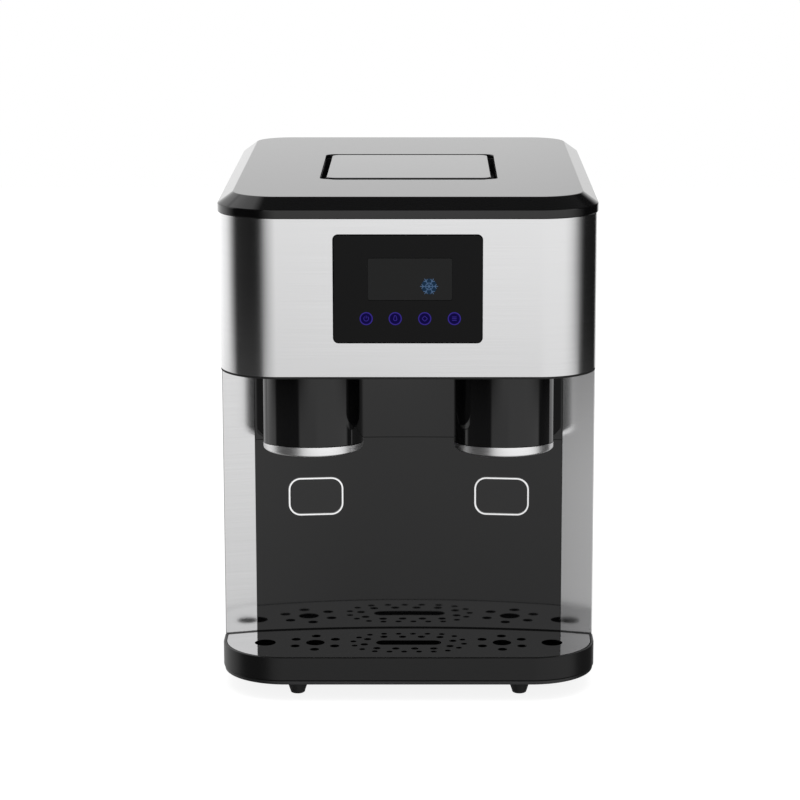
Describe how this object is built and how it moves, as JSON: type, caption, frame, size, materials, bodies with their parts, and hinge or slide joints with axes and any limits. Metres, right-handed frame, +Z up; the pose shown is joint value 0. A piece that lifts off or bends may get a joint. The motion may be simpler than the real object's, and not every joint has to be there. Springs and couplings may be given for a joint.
{
  "type": "flake ice maker",
  "caption": "Countertop flake ice maker and water dispenser with brushed steel head, recessed bay, ice spout, water spout, push pads, lift-out refill lid and drip tray.",
  "frame": {"origin": "middle of the footprint of the whole machine, on the surface that its feet stand on", "axes": "+Z up, +X to the right as seen from the front, -Y towards the user, so the dispensing bay faces -Y"},
  "size_m": [0.317, 0.442, 0.4278],
  "materials": {
    "brushed_steel": "brushed stainless steel sheet, fine horizontal grain",
    "polished_steel": "mirror polished stainless steel",
    "bright_trim": "bright satin chrome plating",
    "black_gloss": "piano black moulded plastic",
    "black_satin": "black moulded plastic, low sheen",
    "black_rubber": "black rubber",
    "screen": "smoked display window",
    "circuit_board": "green circuit board",
    "clear_plastic": "translucent grey moulded plastic",
    "white_plastic": "white food grade plastic",
    "copper": "bare copper pipe",
    "aluminium": "plain aluminium",
    "painted_black": "black powder coated steel",
    "screw_steel": "bright zinc plated steel"
  },
  "bodies": {
    "housing": {"auger_motor": "aluminium", "base_pan": "black_satin", "bay_panel_lower": "black_gloss", "bay_panel_upper": "black_gloss", "compressor": "painted_black", "condenser": "aluminium", "control_board": "circuit_board", "control_fascia": "black_gloss", "discharge_pipe": "copper", "display_lens": "screen", "drain_port": "black_satin", "fan_frame": "black_satin", "filler_well": "black_satin", "flap_pin": "bright_trim", "flap_solenoid": "aluminium", "foot_front_left": "black_rubber", "foot_front_right": "black_rubber", "foot_rear_left": "black_rubber", "foot_rear_right": "black_rubber", "freezing_barrel": "brushed_steel", "head_deck": "black_satin", "head_wrap": "brushed_steel", "ice_bin": "white_plastic", "ice_chute": "white_plastic", "ice_outlet": "white_plastic", "pad_switch_left": "black_satin", "pad_switch_right": "black_satin", "pad_trim_left": "bright_trim", "pad_trim_right": "bright_trim", "power_box": "black_satin", "power_inlet": "black_satin", "rear_panel": "painted_black", "rear_screw_low_left": "screw_steel", "rear_screw_low_right": "screw_steel", "rear_screw_top_left": "screw_steel", "rear_screw_top_right": "screw_steel", "side_panel_left": "brushed_steel", "side_panel_right": "brushed_steel", "spout_ring_left": "bright_trim", "spout_ring_right": "bright_trim", "spout_shell_left": "black_gloss", "spout_shell_right": "black_gloss", "suction_pipe": "copper", "top_cover": "black_gloss", "water_hose": "clear_plastic", "water_nozzle": "white_plastic", "water_pump": "black_satin", "water_tank": "clear_plastic"},
    "refill_lid": {"refill_lid": "black_gloss"},
    "drip_tray": {"drip_tray": "black_gloss"},
    "drip_grate": {"drip_grate": "polished_steel"},
    "push_pad_left": {"push_pad_left": "black_gloss"},
    "push_pad_right": {"push_pad_right": "black_gloss"},
    "chute_flap": {"chute_flap": "white_plastic"},
    "auger": {"auger": "brushed_steel"},
    "fan_rotor": {"fan_rotor": "black_satin"},
    "drain_plug": {"drain_plug": "black_rubber"}
  },
  "joints": [
    {"name": "refill_lid_lift", "type": "slide", "parent": "housing", "child": "refill_lid", "axis": [0, 0, 1], "range_m": [0, 0.06]},
    {"name": "drip_tray_pull", "type": "slide", "parent": "housing", "child": "drip_tray", "axis": [0, -1, 0], "range_m": [0, 0.1]},
    {"name": "drip_grate_lift", "type": "slide", "parent": "drip_tray", "child": "drip_grate", "axis": [0, 0, 1], "range_m": [0, 0.05]},
    {"name": "push_pad_left_press", "type": "slide", "parent": "housing", "child": "push_pad_left", "axis": [-0.1, 0.995, 0], "range_m": [0, 0.003], "stiffness_N_per_m": 300, "springref_m": -0.002},
    {"name": "push_pad_right_press", "type": "slide", "parent": "housing", "child": "push_pad_right", "axis": [0.1, 0.995, 0], "range_m": [0, 0.003], "stiffness_N_per_m": 300, "springref_m": -0.002},
    {"name": "chute_flap_open", "type": "hinge", "parent": "housing", "child": "chute_flap", "pos_m": [-0.08, -0.13951, 0.26], "axis": [1, 0, 0], "range_deg": [0, 55], "stiffness_Nm_per_rad": 0.004, "springref_deg": -45.84},
    {"name": "auger_spin", "type": "hinge", "parent": "housing", "child": "auger", "pos_m": [-0.1105, 0.144, 0.2], "axis": [0, 0, 1], "continuous": true},
    {"name": "fan_spin", "type": "hinge", "parent": "housing", "child": "fan_rotor", "pos_m": [0.068, 0.1992, 0.0833], "axis": [0, 1, 0], "continuous": true},
    {"name": "drain_plug_pull", "type": "slide", "parent": "housing", "child": "drain_plug", "axis": [0, 1, 0], "range_m": [0, 0.02]}
  ]
}
